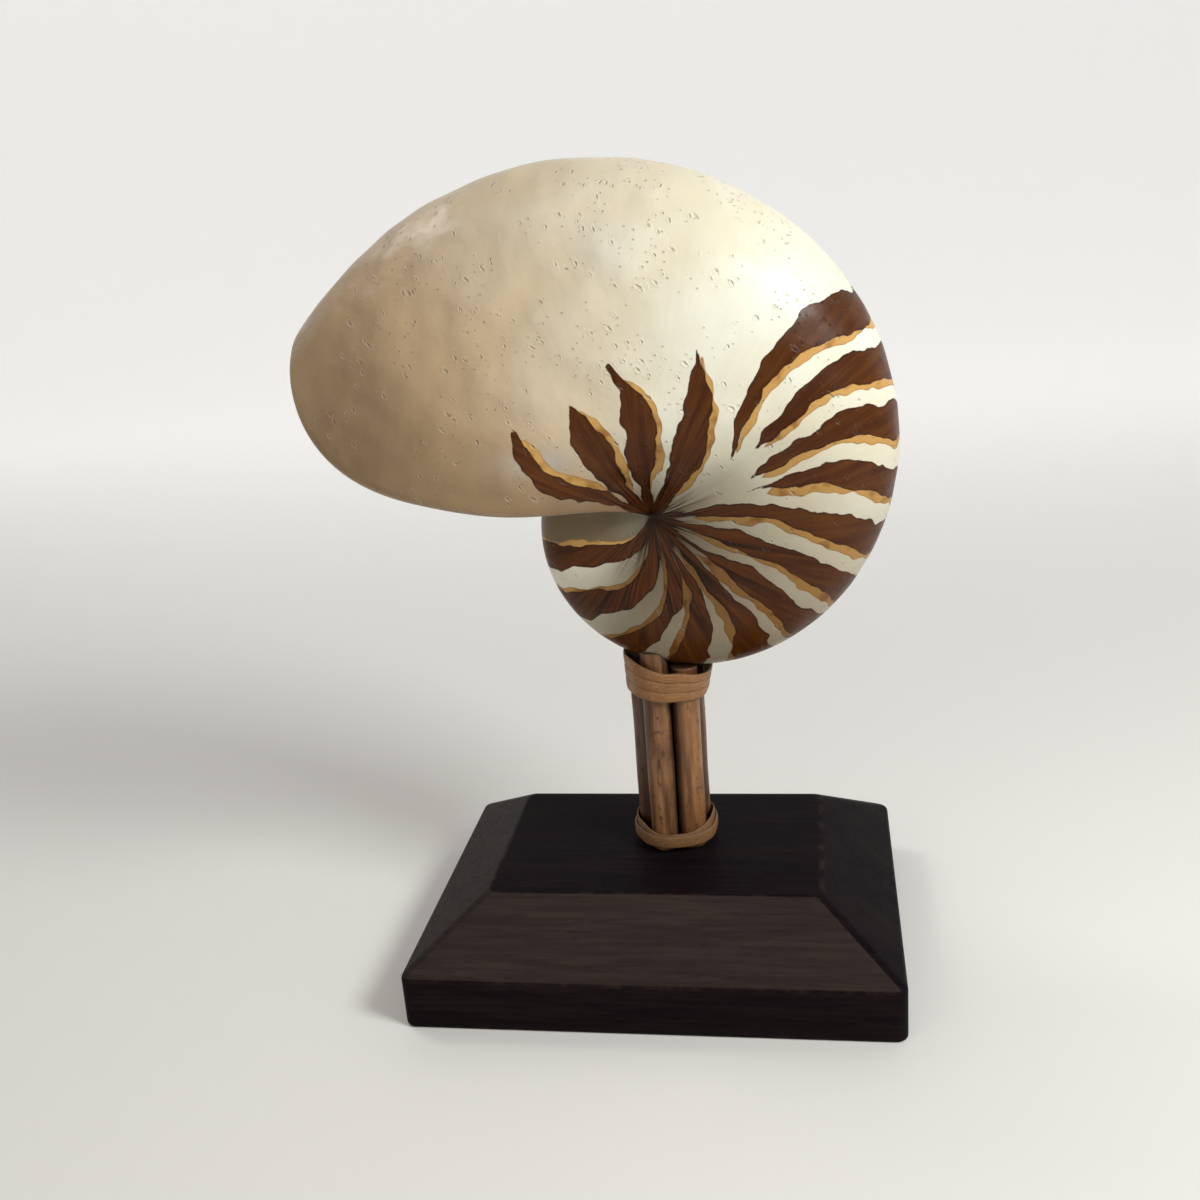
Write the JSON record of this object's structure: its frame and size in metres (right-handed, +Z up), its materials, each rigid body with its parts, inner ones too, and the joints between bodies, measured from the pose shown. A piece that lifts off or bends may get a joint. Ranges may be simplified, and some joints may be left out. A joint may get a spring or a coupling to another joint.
{
  "type": "nautilus shell on stand",
  "caption": "Painted nautilus shell with brown and ochre stripes, held on a tied bundle of canes over a dark wooden base with sloping sides",
  "frame": {"origin": "centre of the base's underside", "axes": "+Z up; the shell's spiral lies in a plane parallel to XZ, with its mouth on the -X side; +Y points to the back as the picture sees it"},
  "size_m": [0.2113, 0.137, 0.2968],
  "materials": {
    "shell_paint": "satin cream with brown and ochre painted stripes, finely pitted",
    "cane": "dry rattan, mottled, lightly varnished",
    "cane_strip": "split rattan strip, fibrous",
    "dark_wood": "near-black stain under a satin lacquer, fine grain"
  },
  "bodies": {
    "root": {"shell": "shell_paint", "cane_1": "cane", "cane_2": "cane", "cane_3": "cane", "cane_4": "cane", "cane_5": "cane", "upper_binding": "cane_strip", "lower_binding": "cane_strip", "base": "dark_wood"}
  },
  "joints": []
}
